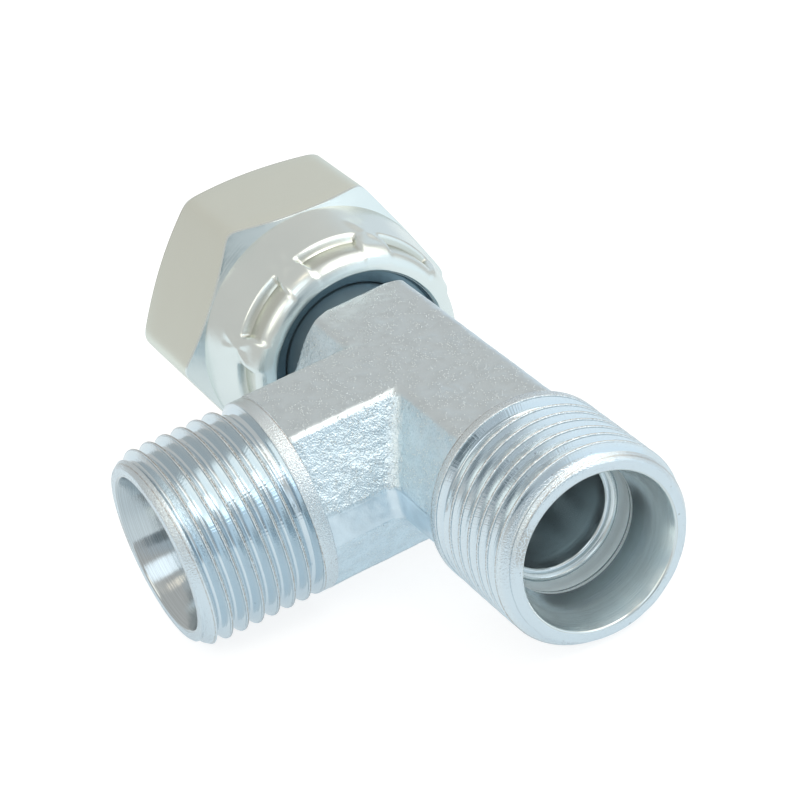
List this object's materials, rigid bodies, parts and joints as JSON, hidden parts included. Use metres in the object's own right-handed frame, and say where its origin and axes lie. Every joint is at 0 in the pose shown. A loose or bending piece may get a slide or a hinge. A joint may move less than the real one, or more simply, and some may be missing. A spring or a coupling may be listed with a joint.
{
  "type": "swivel nut run tee adapter",
  "caption": "Forged tee for hydraulic tube, with threaded cone ports on the run and the branch and a crimped swivel nut on the other end of the run.",
  "frame": {"origin": "the point where the axes of the run and of the branch meet", "axes": "+X along the run, out of the fixed run port; -X out of the swivel nut; -Y out of the branch port; +Z out of the top face of the forging"},
  "size_m": [0.0614, 0.0414, 0.0248],
  "materials": {
    "body_steel": "bright blue zinc plate over forged and turned steel",
    "nut_steel": "satin zinc plate over drawn and turned steel",
    "ring_rubber": "smooth black nitrile rubber"
  },
  "bodies": {
    "tee": {"tee_body": "body_steel", "o_ring": "ring_rubber"},
    "nut": {"swivel_nut": "nut_steel"}
  },
  "joints": [
    {"name": "nut_swivel", "type": "hinge", "parent": "tee", "child": "nut", "pos_m": [-0.024, 0, 0], "axis": [-1, 0, 0], "continuous": true}
  ]
}
